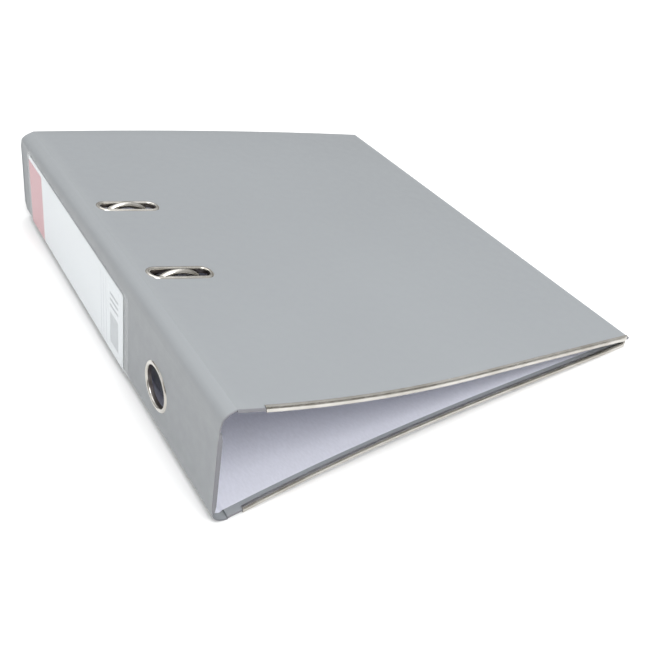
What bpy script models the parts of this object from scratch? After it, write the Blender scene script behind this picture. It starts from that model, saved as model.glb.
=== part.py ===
"""An A4 lever arch file, closed and lying flat on its back cover.

The case is three stiff panels joined by two film folds: the back cover, the spine and the front
cover. A lever arch mechanism is riveted inside the back cover. Lengths below are in millimetres,
x from the spine to the fore-edge, y along the spine from its middle, z up from the table. The
origin is in the middle of the file, on the table.
"""
import math

import bmesh
import bpy
from mathutils import Matrix, Vector

MM = 0.001

# ---- Driving dimensions -------------------------------------------------------------------
FILE_LENGTH = 318.0            # along the spine, over the metal edges
FORE_EDGE = 286.0              # from the spine's foot to the fore-edge
HOLE_SPACING = 80.0            # between the two arches, the standard for punched A4 paper
SPINE_LEAN = math.radians(6.4)  # the spine leans in over the contents
FOLD_RADIUS = 8.0              # outside radius of the lower fold
SPINE_FLAT = 51.4              # height of the stiff part of the spine
FRONT_START = 15.0             # where the front cover starts, past the upper fold

FILM = 0.3                     # outer plastic film
BOARD = 1.5                    # grey board core
LINING = 0.2                   # inner paper lining
LAYER_GAP = 0.2                # glue line between two layers
LAMINATE = FILM + BOARD + LINING + 2 * LAYER_GAP
GAP = 0.3                      # clearance between pieces that touch
FOLD_SKIN = 0.8                # film and lining together, where there is no board

POCKET_STANDOFF = 1.2          # the label pocket's face, out from the spine
X_MIDDLE = (FORE_EDGE - POCKET_STANDOFF) / 2
NEAR_END = -FILE_LENGTH / 2
FAR_END = FILE_LENGTH / 2
PROTECTOR_WALL = 0.3
PROTECTOR_GAP = 0.25
PROTECTOR_DEPTH = 2.4          # how far the metal edge reaches over the cover
COVER_NEAR = NEAR_END + PROTECTOR_WALL + PROTECTOR_GAP
COVER_FORE = FORE_EDGE - 0.5

# ---- Mechanism ------------------------------------------------------------------------------
WIRE = 1.9                     # radius of the arch wire
ARCH_RADIUS = 17.4             # of the arch's centre line
ARCH_MIDDLE = 34.0             # x of the arches' centres
ARCH_TOP = 65.5                # top of the arches, just through the cover's slots
ARCH_CENTRE_Z = ARCH_TOP - ARCH_RADIUS - WIRE
LEG_X = ARCH_MIDDLE - ARCH_RADIUS
POST_X = ARCH_MIDDLE + ARCH_RADIUS
AXLE_Z = 9.6
CRANK_X = 29.0
CRANK_Y = (-2.0, 30.0)
BEND = 3.0                     # bend radius of the wire at its foot

BASE_Z = LAMINATE + GAP        # underside of the base plate
PLATE = 1.0                    # thickness of the pressed steel parts
DECK_Z = BASE_Z + PLATE + GAP  # where pieces stand on the base plate
BASE_X = (12.6, 61.0)
BASE_Y = (-76.0, 76.0)
RIVET_X = (17.5, 55.5)
RIVET_Y = (-70.0, 70.0)

LEVER_X = (24.3, 33.7)
LEVER_PIVOT = (20.0, 24.0)     # y, z of the lever's pin
ROLLER_ARM = 9.0
ROLLER_ANGLE = math.radians(30.0)
ROLLER_RADIUS = 4.4
ROLLER_AXIS = (LEVER_PIVOT[0] - ROLLER_ARM * math.sin(ROLLER_ANGLE),
               LEVER_PIVOT[1] - ROLLER_ARM * math.cos(ROLLER_ANGLE))
LEVER_PIN = 2.0
ROLLER_PIN = 1.4

# ---- Openings in the case -------------------------------------------------------------------
SLOT_X = 38.6                  # middle of each slot
SLOT_STRAIGHT = 13.0           # half the straight part of a slot
SLOT_RADIUS = 4.0              # inside the metal rim
RIM_WIDTH = 2.5
RING_Y = -86.8                 # finger ring's centre on the spine
RING_Z = 22.5                  # up the spine from the lower fold
RING_INNER = 11.8
RING_OUTER = 14.3
LABEL_Y = (-40.3, 140.0)
LABEL_WRAP = 4.0               # how far the label runs round the lower fold

COLOURS = {                    # colour, roughness, metallic
    "cover_film": ((0.42, 0.45, 0.46), 0.5, 0.0),
    "grey_board": ((0.36, 0.33, 0.29), 0.9, 0.0),
    "lining_paper": ((0.55, 0.55, 0.66), 0.8, 0.0),
    "nickel": ((0.70, 0.67, 0.62), 0.25, 1.0),
    "steel": ((0.62, 0.62, 0.62), 0.35, 1.0),
    "black_plastic": ((0.03, 0.03, 0.03), 0.5, 0.0),
    "clear_film": ((0.85, 0.87, 0.88), 0.15, 0.0),
    "label_card": ((0.75, 0.76, 0.78), 0.7, 0.0),
}


# ---- Where things are -----------------------------------------------------------------------
def place(x, y, z):
    """A point of the file, in metres in the model's frame."""
    return Vector(((x - X_MIDDLE) * MM, y * MM, z * MM))


def along(y):
    """0 at the near end of the file, 1 at the far end."""
    return (y - NEAR_END) / FILE_LENGTH


NEAR_LIP = 7.2                 # height of the front cover at its near fore corner
NEAR_SLOPE = 0.177             # rise of its near edge towards the spine
SAG_START = 155.0              # nearer the spine than this, the near edge curves up
SAG_LENGTH = 125.5
SAG_RISE = 12.9
FAR_LIP = 5.3                  # height of the front cover at its far fore corner
FAR_RISE = 59.3
FAR_BOW = 8.0
CROWN = 4.8                    # four times the extra height halfway along the file


def front_height(x, y):
    """Height of the front cover's outer face.

    It sags at its near end, is arched at its far end, and stands a little higher in between.
    """
    sag = max(0.0, SAG_START - x) / SAG_LENGTH
    near = NEAR_LIP + NEAR_SLOPE * (FORE_EDGE - x) + SAG_RISE * sag ** 2
    u = (x - FRONT_START) / (FORE_EDGE - FRONT_START)
    far = FAR_LIP + FAR_RISE * (1.0 - u) + FAR_BOW * u * (1.0 - u)
    crown = CROWN * (1.0 - u) * along(y) * (1.0 - along(y))
    return near + (far - near) * along(y) + crown


CURL_DEPTH = 70.0              # the back cover curls up over this much of its near end
CURL_START = 16.0
CURL_LIFT = 0.9
CURL_BOW = 6.0
CURL_SKEW = 1.6                # the bow is highest nearer the spine
CURL_PEAK = (1.0 / (1.0 + CURL_SKEW)) * (CURL_SKEW / (1.0 + CURL_SKEW)) ** CURL_SKEW


def back_height(x, y):
    """Height of the back cover's underside: flat on the table but for a curl at the near end."""
    inside = max(0.0, 1.0 - (y - NEAR_END) / CURL_DEPTH)
    u = min(1.0, max(0.0, (x - CURL_START) / (FORE_EDGE - CURL_START)))
    ramp = min(1.0, max(0.0, (x - FOLD_RADIUS) / (CURL_START - FOLD_RADIUS)))
    bow = CURL_BOW * u * (1.0 - u) ** CURL_SKEW / CURL_PEAK
    return (CURL_LIFT * ramp + bow) * inside ** 2


SPINE_FOOT = (FOLD_RADIUS * (1 - math.cos(SPINE_LEAN)), FOLD_RADIUS * (1 + math.sin(SPINE_LEAN)))
SPINE_HEAD = (SPINE_FOOT[0] + SPINE_FLAT * math.sin(SPINE_LEAN),
              SPINE_FOOT[1] + SPINE_FLAT * math.cos(SPINE_LEAN))


def hinge_point(closed, opened, angle):
    """The axis that carries a panel's edge from closed to opened as it turns by angle."""
    dx = opened[0] - closed[0]
    dz = opened[1] - closed[1]
    reach = 1.0 / (2.0 * math.tan(angle / 2.0))
    return ((closed[0] + opened[0]) / 2 - dz * reach, (closed[1] + opened[1]) / 2 + dx * reach)


SPINE_SWING = math.pi / 2 + SPINE_LEAN
LOWER_FILM = FOLD_RADIUS * (math.pi / 2 - SPINE_LEAN)
SPINE_HINGE = hinge_point(SPINE_FOOT, (FOLD_RADIUS - LOWER_FILM, 0.0), SPINE_SWING)

FRONT_EDGE_Z = front_height(FRONT_START, 0.0)
FRONT_SWING = math.radians(97.0)
UPPER_FILM = 15.0
FRONT_OPENED = (SPINE_HEAD[0] + UPPER_FILM * math.sin(SPINE_LEAN),
                SPINE_HEAD[1] + UPPER_FILM * math.cos(SPINE_LEAN))
FRONT_HINGE = hinge_point((FRONT_START, FRONT_EDGE_Z), FRONT_OPENED, FRONT_SWING)


# ---- Making objects -------------------------------------------------------------------------
def clear_scene():
    for old in list(bpy.data.objects):
        bpy.data.objects.remove(old, do_unlink=True)


def make_materials():
    made = {}
    for name, (colour, roughness, metallic) in COLOURS.items():
        material = bpy.data.materials.new(name)
        material.use_nodes = True
        shader = material.node_tree.nodes["Principled BSDF"]
        shader.inputs["Base Color"].default_value = (*colour, 1.0)
        shader.inputs["Roughness"].default_value = roughness
        shader.inputs["Metallic"].default_value = metallic
        material.diffuse_color = (*colour, 1.0)
        made[name] = material
    return made


def add_axis(name, x, y, z):
    """An empty on a joint's axis, which the moving pieces hang from."""
    empty = bpy.data.objects.new(name, None)
    empty.location = place(x, y, z)
    empty.empty_display_size = 5 * MM
    bpy.context.collection.objects.link(empty)
    bpy.context.view_layer.update()
    return empty


def finish_piece(name, mesh, finish, parent=None, smooth=False):
    """Turn a bmesh into a named object, on its parent's axis if it moves."""
    bmesh.ops.recalc_face_normals(mesh, faces=mesh.faces)
    data = bpy.data.meshes.new(name)
    mesh.to_mesh(data)
    mesh.free()
    piece = bpy.data.objects.new(name, data)
    bpy.context.collection.objects.link(piece)
    if finish is not None:
        data.materials.append(MATERIALS[finish])
    if smooth:
        data.shade_smooth()
        data.set_sharp_from_angle(angle=math.radians(35))
    if parent is not None:
        piece.parent = parent
        piece.matrix_parent_inverse = parent.matrix_world.inverted()
    return piece


def combine(piece, tool, operation):
    """Cut a tool out of a piece, or join it on; the tool is only a guide afterwards."""
    change = piece.modifiers.new(operation.title(), "BOOLEAN")
    change.operation = operation
    change.solver = "EXACT"
    change.object = tool
    tool.hide_render = True
    tool.display_type = "WIRE"


def add_block(mesh, x, y, z):
    """A box between three pairs of limits."""
    made = bmesh.ops.create_cube(mesh, size=1.0)
    size = Matrix.Diagonal(((x[1] - x[0]) * MM, (y[1] - y[0]) * MM, (z[1] - z[0]) * MM, 1.0))
    middle = Matrix.Translation(place(sum(x) / 2, sum(y) / 2, sum(z) / 2))
    bmesh.ops.transform(mesh, matrix=middle @ size, verts=made["verts"])
    return made["verts"]


def add_rod(mesh, start, end, radius, sides=24):
    """A cylinder from one point to another."""
    a = place(*start)
    b = place(*end)
    turn = (b - a).to_track_quat("Z", "Y").to_matrix().to_4x4()
    bmesh.ops.create_cone(mesh, cap_ends=True, segments=sides, radius1=radius * MM,
                          radius2=radius * MM, depth=(b - a).length,
                          matrix=Matrix.Translation((a + b) / 2) @ turn)


def block(name, x, y, z, finish=None, parent=None):
    mesh = bmesh.new()
    add_block(mesh, x, y, z)
    return finish_piece(name, mesh, finish, parent)


def rod(name, start, end, radius, finish=None, parent=None, sides=24):
    mesh = bmesh.new()
    add_rod(mesh, start, end, radius, sides)
    return finish_piece(name, mesh, finish, parent, smooth=True)


def skin(mesh, loops, closed):
    """Join a row of equal loops of points into one closed surface."""
    rows = [[mesh.verts.new(point) for point in loop] for loop in loops]
    count = len(rows[0])
    pairs = list(zip(rows, rows[1:]))
    if closed:
        pairs.append((rows[-1], rows[0]))
    for first, second in pairs:
        for i in range(count):
            j = (i + 1) % count
            mesh.faces.new((first[i], first[j], second[j], second[i]))
    if not closed:
        mesh.faces.new(rows[0])
        mesh.faces.new(rows[-1])


def loft(name, loops, finish=None, parent=None, closed=False, smooth=False):
    mesh = bmesh.new()
    skin(mesh, loops, closed)
    return finish_piece(name, mesh, finish, parent, smooth)


def turned(name, profile, centre, axis, finish, parent=None, sides=32):
    """A profile of (radius, height) points spun about an axis through centre."""
    mesh = bmesh.new()
    corners = [mesh.verts.new((radius * MM, 0.0, height * MM)) for radius, height in profile]
    for a, b in zip(corners, corners[1:]):
        mesh.edges.new((a, b))
    if profile[0][0] > 0.0:
        mesh.edges.new((corners[-1], corners[0]))
    bmesh.ops.spin(mesh, geom=mesh.verts[:] + mesh.edges[:], cent=(0, 0, 0), axis=(0, 0, 1),
                   angle=2 * math.pi, steps=sides, use_merge=True)
    bmesh.ops.remove_doubles(mesh, verts=mesh.verts, dist=0.01 * MM)
    turn = Vector(axis).to_track_quat("Z", "Y").to_matrix().to_4x4()
    bmesh.ops.transform(mesh, matrix=Matrix.Translation(place(*centre)) @ turn, verts=mesh.verts)
    return finish_piece(name, mesh, finish, parent, smooth=True)


# ---- The case's panels ----------------------------------------------------------------------
LAYERS = (                     # name, depth of its outer face, thickness, finish
    ("film", 0.0, FILM, "cover_film"),
    ("board", FILM + LAYER_GAP, BOARD, "grey_board"),
    ("lining", FILM + BOARD + 2 * LAYER_GAP, LINING, "lining_paper"),
)


def draped_sheet(name, x, y, cells, height, thickness, finish, parent):
    """A sheet between limits in x and y, whose first face lies on height(x, y)."""
    mesh = bmesh.new()
    bmesh.ops.create_grid(mesh, x_segments=cells[0], y_segments=cells[1], size=0.5)
    for corner in mesh.verts:
        file_x = x[0] + (x[1] - x[0]) * (corner.co.x + 0.5)
        file_y = y[0] + (y[1] - y[0]) * (corner.co.y + 0.5)
        corner.co = place(file_x, file_y, height(file_x, file_y))
    moved = bmesh.ops.extrude_face_region(mesh, geom=mesh.faces[:])["geom"]
    second = [item for item in moved if isinstance(item, bmesh.types.BMVert)]
    bmesh.ops.translate(mesh, verts=second, vec=(0, 0, thickness * MM))
    return finish_piece(name, mesh, finish, parent)


def stadium(x, y, radius, height, steps=8):
    """A loop of points round a slot; height(x, y) lifts each one."""
    points = []
    for side in (1, -1):
        for i in range(steps + 1):
            angle = -math.pi / 2 + math.pi * i / steps
            px = x + side * (SLOT_STRAIGHT + radius * math.cos(angle))
            py = y + side * radius * math.sin(angle)
            points.append(place(px, py, height(px, py)))
    return points


def slot_cutter(y):
    radius = SLOT_RADIUS + 0.7
    low = stadium(SLOT_X, y, radius, lambda px, py: 40.0)
    high = stadium(SLOT_X, y, radius, lambda px, py: 80.0)
    return loft(f"slot_cutter_{y:.0f}", (low, high))


def make_front_cover(parent):
    """The three layers of the front cover, with a slot for each arch."""
    cutters = [slot_cutter(side * HOLE_SPACING / 2) for side in (-1, 1)]
    for layer, depth, thickness, finish in LAYERS:
        sheet = draped_sheet(
            f"front_{layer}", (FRONT_START + GAP, COVER_FORE), (COVER_NEAR, FAR_END), (22, 4),
            lambda x, y, d=depth: front_height(x, y) - d, -thickness, finish, parent)
        for cutter in cutters:
            combine(sheet, cutter, "DIFFERENCE")


def make_back_cover():
    """The three layers of the back cover, drilled for the rivets."""
    for layer, depth, thickness, finish in LAYERS:
        sheet = draped_sheet(
            f"back_{layer}", (FOLD_RADIUS + GAP, COVER_FORE), (COVER_NEAR, FAR_END), (22, 18),
            lambda x, y, d=depth: back_height(x, y) + d, thickness, finish, None)
        radius = RIVET_FOOT + GAP if layer == "film" else RIVET_SHANK + GAP
        for hole in rivet_holes(f"back_{layer}_hole", radius):
            combine(sheet, hole, "DIFFERENCE")


def make_protector(name, start, surface, parent):
    """A folded metal edge over the near end of a cover; surface(x) is the cover's top there."""
    top = PROTECTOR_GAP + PROTECTOR_WALL
    foot = -LAMINATE - top
    y_out = NEAR_END
    y_back = y_out + PROTECTOR_WALL
    y_lip = y_out + PROTECTOR_DEPTH
    section = ((y_out, top), (y_lip, top), (y_lip, PROTECTOR_GAP), (y_back, PROTECTOR_GAP),
               (y_back, foot + PROTECTOR_WALL), (y_lip, foot + PROTECTOR_WALL), (y_lip, foot),
               (y_out, foot))
    stations = 22
    loops = []
    for i in range(stations + 1):
        x = start + (FORE_EDGE - start) * i / stations
        loops.append([place(x, y, surface(x, y) + rise) for y, rise in section])
    return loft(name, loops, "nickel", parent)


def make_slot_rims(parent):
    """A pressed rim from outside and a backing plate from inside, in each slot."""
    inner = SLOT_RADIUS
    outer = SLOT_RADIUS + RIM_WIDTH
    wall = 0.4
    foot = -LAMINATE - 0.9
    lip = PROTECTOR_GAP
    rim = ((outer, lip), (outer - 0.1, lip + 0.25), (outer - 1.0, lip + 0.5),
           (inner + 0.6, lip + 0.5), (inner, lip + 0.1), (inner, foot), (inner + wall, foot),
           (inner + wall, lip))
    plate_top = -LAMINATE - GAP
    plate = ((outer, plate_top), (inner + 0.7, plate_top), (inner + 0.7, plate_top - 0.3),
             (outer, plate_top - 0.3))
    for side, word in ((-1, "near"), (1, "far")):
        y = side * HOLE_SPACING / 2
        for name, profile in ((f"slot_rim_{word}", rim), (f"slot_backing_{word}", plate)):
            loops = [stadium(SLOT_X, y, radius, lambda px, py, r=rise: front_height(px, py) + r)
                     for radius, rise in profile]
            loft(name, loops, "nickel", parent, closed=True, smooth=True)


# ---- Spine ----------------------------------------------------------------------------------
def spine_point(inward, y, up):
    """A point on the leaning spine: inward from its outer face and up from its foot."""
    x = SPINE_FOOT[0] + up * math.sin(SPINE_LEAN) + inward * math.cos(SPINE_LEAN)
    z = SPINE_FOOT[1] + up * math.cos(SPINE_LEAN) - inward * math.sin(SPINE_LEAN)
    return (x, y, z)


def spine_slab(name, inward, y, up, finish, parent):
    corners = ((inward[0], up[0]), (inward[1], up[0]), (inward[1], up[1]), (inward[0], up[1]))
    loops = [[place(*spine_point(a, end, b)) for a, b in corners] for end in y]
    return loft(name, loops, finish, parent)


def fold_round(radius, degrees):
    """A point of the lower fold, by its radius and its angle above the downward direction."""
    angle = math.radians(degrees)
    return (FOLD_RADIUS - radius * math.sin(angle), FOLD_RADIUS - radius * math.cos(angle))


def spine_outline(outward, from_degrees):
    """Points up the spine's outer side, outward from its face, from partway round the fold."""
    foot_degrees = 90.0 + math.degrees(SPINE_LEAN)
    steps = 6
    points = []
    for i in range(steps + 1):
        degrees = from_degrees + (foot_degrees - from_degrees) * i / steps
        points.append(fold_round(FOLD_RADIUS + outward, degrees))
    head = spine_point(-outward, 0.0, SPINE_FLAT - 0.1)
    points.append((head[0], head[2]))
    return points


def strip(name, outer, inner, y, finish, parent, smooth=True):
    """A strip along the file between an outer and an inner outline of (x, z) points."""
    outline = list(outer) + list(reversed(inner))
    loops = [[place(px, end, pz) for px, pz in outline] for end in y]
    return loft(name, loops, finish, parent, smooth=smooth)


def make_spine(parent):
    hole = rod("finger_hole", spine_point(-10.0, RING_Y, RING_Z), spine_point(15.0, RING_Y, RING_Z),
               RING_INNER + 0.7, sides=40)
    for layer, depth, thickness, finish in LAYERS:
        sheet = spine_slab(f"spine_{layer}", (depth, depth + thickness), (COVER_NEAR, FAR_END),
                           (GAP, SPINE_FLAT - GAP), finish, parent)
        combine(sheet, hole, "DIFFERENCE")


def make_lower_fold(parent):
    steps = 10
    foot_degrees = 90.0 + math.degrees(SPINE_LEAN)
    degrees = [foot_degrees * i / steps for i in range(steps + 1)]
    outer = [fold_round(FOLD_RADIUS, angle) for angle in degrees]
    inner = [fold_round(FOLD_RADIUS - FOLD_SKIN, angle) for angle in degrees]
    strip("lower_fold", outer, inner, (COVER_NEAR, FAR_END), "cover_film", parent)


# the upper fold bends near its spine side: x, and how far below the front cover
FOLD_BEND = (6.8, 2.6)
FOLD_RUN = (8.5, 1.4)


def upper_fold_outline(y, depth):
    """The fold from the spine's head to the front cover, depth below its outer face."""
    end_z = front_height(FRONT_START, y)
    first = Vector(SPINE_HEAD)
    last = Vector((FRONT_START, end_z))
    second = Vector((FOLD_BEND[0], end_z - FOLD_BEND[1]))
    third = Vector((FOLD_RUN[0], end_z - FOLD_RUN[1]))
    steps = 10
    points = []
    for i in range(steps + 1):
        t = i / steps
        s = 1.0 - t
        point = s ** 3 * first + 3 * s * s * t * second + 3 * s * t * t * third + t ** 3 * last
        heading = s * s * (second - first) + 2 * s * t * (third - second) + t * t * (last - third)
        heading.normalize()
        points.append((point.x + heading.y * depth, point.y - heading.x * depth))
    return points


def make_upper_fold(parent):
    loops = []
    stretches = 4
    for i in range(stretches + 1):
        y = COVER_NEAR + (FAR_END - COVER_NEAR) * i / stretches
        outline = upper_fold_outline(y, 0.0) + upper_fold_outline(y, FOLD_SKIN)[::-1]
        loops.append([place(px, y, pz) for px, pz in outline])
    loft("upper_fold", loops, "cover_film", parent, smooth=True)


def make_finger_ring(parent):
    """An eyelet pressed through the spine from outside, clenched over a washer inside."""
    lip = -PROTECTOR_GAP
    wall = 0.4
    back = LAMINATE + 0.9
    inward = spine_point(1.0, 0.0, 0.0)
    outer_face = spine_point(0.0, 0.0, 0.0)
    axis = (inward[0] - outer_face[0], 0.0, inward[2] - outer_face[2])
    centre = spine_point(0.0, RING_Y, RING_Z)
    ring = ((RING_OUTER, lip), (RING_OUTER - 0.2, lip - 0.35), (RING_OUTER - 1.5, lip - 0.75),
            (RING_INNER + 0.9, lip - 0.75), (RING_INNER, lip - 0.2), (RING_INNER, back),
            (RING_INNER + wall, back), (RING_INNER + wall, lip))
    turned("finger_ring", ring, centre, axis, "nickel", parent, sides=40)
    face = LAMINATE + GAP
    washer = ((RING_OUTER, face), (RING_OUTER, face + 0.4), (RING_INNER + 0.7, face + 0.4),
              (RING_INNER + 0.7, face))
    turned("finger_ring_washer", washer, centre, axis, "nickel", parent, sides=40)


def make_label(spine, slide):
    """A clear pocket welded to the spine, open at the far end, and the card in it."""
    sheet = 0.25
    rim = 1.5
    from_degrees = math.degrees(LABEL_WRAP / -FOLD_RADIUS) + 90.0 + math.degrees(SPINE_LEAN)
    face = POCKET_STANDOFF
    y_pocket = (LABEL_Y[0] - 7.0, LABEL_Y[1] + 2.0)
    pocket = strip("label_pocket", spine_outline(face, from_degrees),
                   spine_outline(GAP, from_degrees), y_pocket, "clear_film", spine)
    room_degrees = math.degrees(rim / FOLD_RADIUS) + from_degrees
    room_outer = spine_outline(face - sheet, room_degrees)
    room_inner = spine_outline(-GAP, room_degrees)
    short = rim / SPINE_FLAT
    for outline in (room_outer, room_inner):
        head = Vector(outline[-1])
        outline[-1] = tuple(head + (Vector(outline[-2]) - head) * short)
    room = strip("pocket_room", room_outer, room_inner, (LABEL_Y[0] - 1.0, LABEL_Y[1] + 10.0),
                 None, None, smooth=False)
    combine(pocket, room, "DIFFERENCE")
    card_degrees = room_degrees + 2.5
    card_outer = spine_outline(0.65, card_degrees)
    card_inner = spine_outline(0.35, card_degrees)
    for outline in (card_outer, card_inner):
        head = Vector(outline[-1])
        outline[-1] = tuple(head + (Vector(outline[-2]) - head) * (short + 0.01))
    strip("label_card", card_outer, card_inner, LABEL_Y, "label_card", slide)


# ---- Mechanism: base, posts and arches ------------------------------------------------------
RIVET_SHANK = 1.5
RIVET_FOOT = 3.9


def rivet_holes(name, radius):
    return [rod(f"{name}_{i}_{j}", (x, y, -5.0), (x, y, 12.0), radius, sides=16)
            for i, x in enumerate(RIVET_X) for j, y in enumerate(RIVET_Y)]


def make_rivets():
    head = DECK_Z
    profile = ((0.0, 0.0), (RIVET_FOOT, 0.0), (RIVET_FOOT, 0.2), (RIVET_SHANK, 0.2),
               (RIVET_SHANK, head), (3.4, head), (2.9, head + 0.7), (1.6, head + 1.1),
               (0.0, head + 1.2))
    names = iter(("rivet_near_spine", "rivet_far_spine", "rivet_near_inner", "rivet_far_inner"))
    for x in RIVET_X:
        for y in RIVET_Y:
            turned(next(names), profile, (x, y, 0.0), (0, 0, 1), "nickel", sides=16)


LUG_Y = (-31.0, -9.0, 34.6)


def lug_outline():
    """Side of a lug, in x and z: a tongue with a round head about the wire's axle."""
    steps = 10
    radius = 4.0
    foot = BASE_Z + 0.5
    angles = [math.pi * i / steps for i in range(steps + 1)]
    head = [(LEG_X + radius * math.cos(a), AXLE_Z + radius * math.sin(a)) for a in angles]
    return head + [(LEG_X - radius, foot), (LEG_X + radius, foot)]


def make_base_plate():
    """The pressed base plate with three lugs that carry the arch wire's axle."""
    mesh = bmesh.new()
    add_block(mesh, BASE_X, BASE_Y, (BASE_Z, BASE_Z + PLATE))
    upright = [edge for edge in mesh.edges
               if abs(edge.verts[0].co.z - edge.verts[1].co.z) > 0.5 * PLATE * MM]
    bmesh.ops.bevel(mesh, geom=upright, offset=5.0 * MM, offset_type="OFFSET", segments=4,
                    profile=0.5, affect="EDGES", material=-1, clamp_overlap=True)
    plate = finish_piece("base_plate", mesh, "steel")
    for number, y in enumerate(LUG_Y):
        loops = [[place(px, end, pz) for px, pz in lug_outline()] for end in (y - 0.6, y + 0.6)]
        combine(plate, loft(f"lug_{number}", loops), "UNION")
    bore = rod("axle_bore", (LEG_X, -50.0, AXLE_Z), (LEG_X, 50.0, AXLE_Z), WIRE + GAP)
    combine(plate, bore, "DIFFERENCE")
    for hole in rivet_holes("base_plate_hole", RIVET_SHANK + GAP):
        combine(plate, hole, "DIFFERENCE")


def make_posts():
    top = ARCH_CENTRE_Z - GAP
    profile = ((0.0, DECK_Z), (4.2, DECK_Z), (4.2, DECK_Z + 1.2), (3.0, DECK_Z + 1.6),
               (2.1, DECK_Z + 1.6), (2.1, top - 2.2), (1.0, top), (0.0, top))
    for side, word in ((-1, "near"), (1, "far")):
        turned(f"{word}_post", profile, (POST_X, side * HOLE_SPACING / 2, 0.0), (0, 0, 1),
               "nickel", sides=16)


def quarter(centre, start, end, steps=4):
    """Points round a quarter turn, from centre + start to centre + end."""
    middle = Vector(centre)
    first = Vector(start)
    last = Vector(end)
    angles = [math.pi / 2 * i / steps for i in range(steps + 1)]
    return [middle + first * math.cos(a) + last * math.sin(a) for a in angles]


def arch_route():
    """The centre line of the whole wire: near arch, axle, crank, axle, far arch."""
    half = HOLE_SPACING / 2
    steps = 14
    over = [math.pi * i / steps for i in range(steps + 1)]
    down = [Vector((ARCH_MIDDLE + ARCH_RADIUS * math.cos(a), -half,
                    ARCH_CENTRE_Z + ARCH_RADIUS * math.sin(a))) for a in over]
    foot = AXLE_Z + BEND
    route = list(down)
    route += quarter((LEG_X, -half + BEND, foot), (0, -BEND, 0), (0, 0, -BEND))
    route += quarter((LEG_X + BEND, CRANK_Y[0] - BEND, AXLE_Z), (-BEND, 0, 0), (0, BEND, 0))
    route += quarter((CRANK_X - BEND, CRANK_Y[0] + BEND, AXLE_Z), (0, -BEND, 0), (BEND, 0, 0))
    route += quarter((CRANK_X - BEND, CRANK_Y[1] - BEND, AXLE_Z), (BEND, 0, 0), (0, BEND, 0))
    route += quarter((LEG_X + BEND, CRANK_Y[1] + BEND, AXLE_Z), (0, -BEND, 0), (-BEND, 0, 0))
    route += quarter((LEG_X, half - BEND, foot), (0, 0, -BEND), (0, BEND, 0))
    route += [Vector((point.x, half, point.z)) for point in reversed(down)]
    return route


def make_arch_wire(parent):
    """Both arches, their axle and its crank, bent from one steel wire."""
    curve = bpy.data.curves.new("arch_wire", "CURVE")
    curve.dimensions = "3D"
    curve.bevel_depth = WIRE * MM
    curve.bevel_resolution = 2
    curve.use_fill_caps = True
    route = arch_route()
    spline = curve.splines.new("POLY")
    spline.points.add(len(route) - 1)
    for knot, point in zip(spline.points, route):
        knot.co = (*place(*point), 1.0)
    curve.materials.append(MATERIALS["nickel"])
    wire = bpy.data.objects.new("arch_wire", curve)
    bpy.context.collection.objects.link(wire)
    wire.parent = parent
    wire.matrix_parent_inverse = parent.matrix_world.inverted()


# ---- Mechanism: lever -----------------------------------------------------------------------
def prism(name, outline, x, finish=None, parent=None):
    """A (y, z) outline carried from one x to another."""
    loops = [[place(end, py, pz) for py, pz in outline] for end in x]
    return loft(name, loops, finish, parent)


CHEEK = 1.2
BRACKET_X = (LEVER_X[0] - 0.5 - CHEEK, LEVER_X[1] + 0.5 + CHEEK)
BRACKET_Y = (12.5, 26.0)


def across(name, axis, reach, radius):
    """A cutter along x through the lever, on a (y, z) axis."""
    return rod(name, (LEVER_X[0] - reach, *axis), (LEVER_X[1] + reach, *axis), radius)


def make_lever_bracket():
    """A folded bracket with two cheeks that hold the lever's pin."""
    head = LEVER_PIVOT[1] + 4.5
    middle = sum(BRACKET_Y) / 2
    outline = ((BRACKET_Y[0], DECK_Z), (BRACKET_Y[1], DECK_Z), (BRACKET_Y[1], 17.0),
               (middle + 5.0, head - 2.0), (middle + 3.0, head), (middle - 1.0, head),
               (middle - 3.0, head - 2.0), (BRACKET_Y[0], 17.0))
    bracket = prism("lever_bracket", outline, BRACKET_X, "steel")
    inside = (BRACKET_X[0] + CHEEK, BRACKET_X[1] - CHEEK)
    room = block("bracket_room", inside, (0.0, 40.0), (DECK_Z + PLATE, 40.0))
    combine(bracket, room, "DIFFERENCE")
    combine(bracket, across("bracket_bore", LEVER_PIVOT, 10.0, LEVER_PIN + GAP), "DIFFERENCE")


def make_lever_pin():
    shank = (BRACKET_X[0] - GAP, BRACKET_X[1] + GAP)
    head = 1.2
    profile = ((0.0, shank[0] - head), (2.8, shank[0] - head), (3.2, shank[0] - head + 0.4),
               (3.2, shank[0]), (LEVER_PIN, shank[0]), (LEVER_PIN, shank[1]), (3.2, shank[1]),
               (3.2, shank[1] + head - 0.4), (2.8, shank[1] + head), (0.0, shank[1] + head))
    turned("lever_pin", profile, (0.0, *LEVER_PIVOT), (1, 0, 0), "nickel", sides=24)


LEVER_TOP = ((24.6, 24.5), (23.0, 27.6), (19.0, 28.8), (-19.0, 26.0), (-27.0, 22.5), (-35.0, 21.0))


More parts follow.
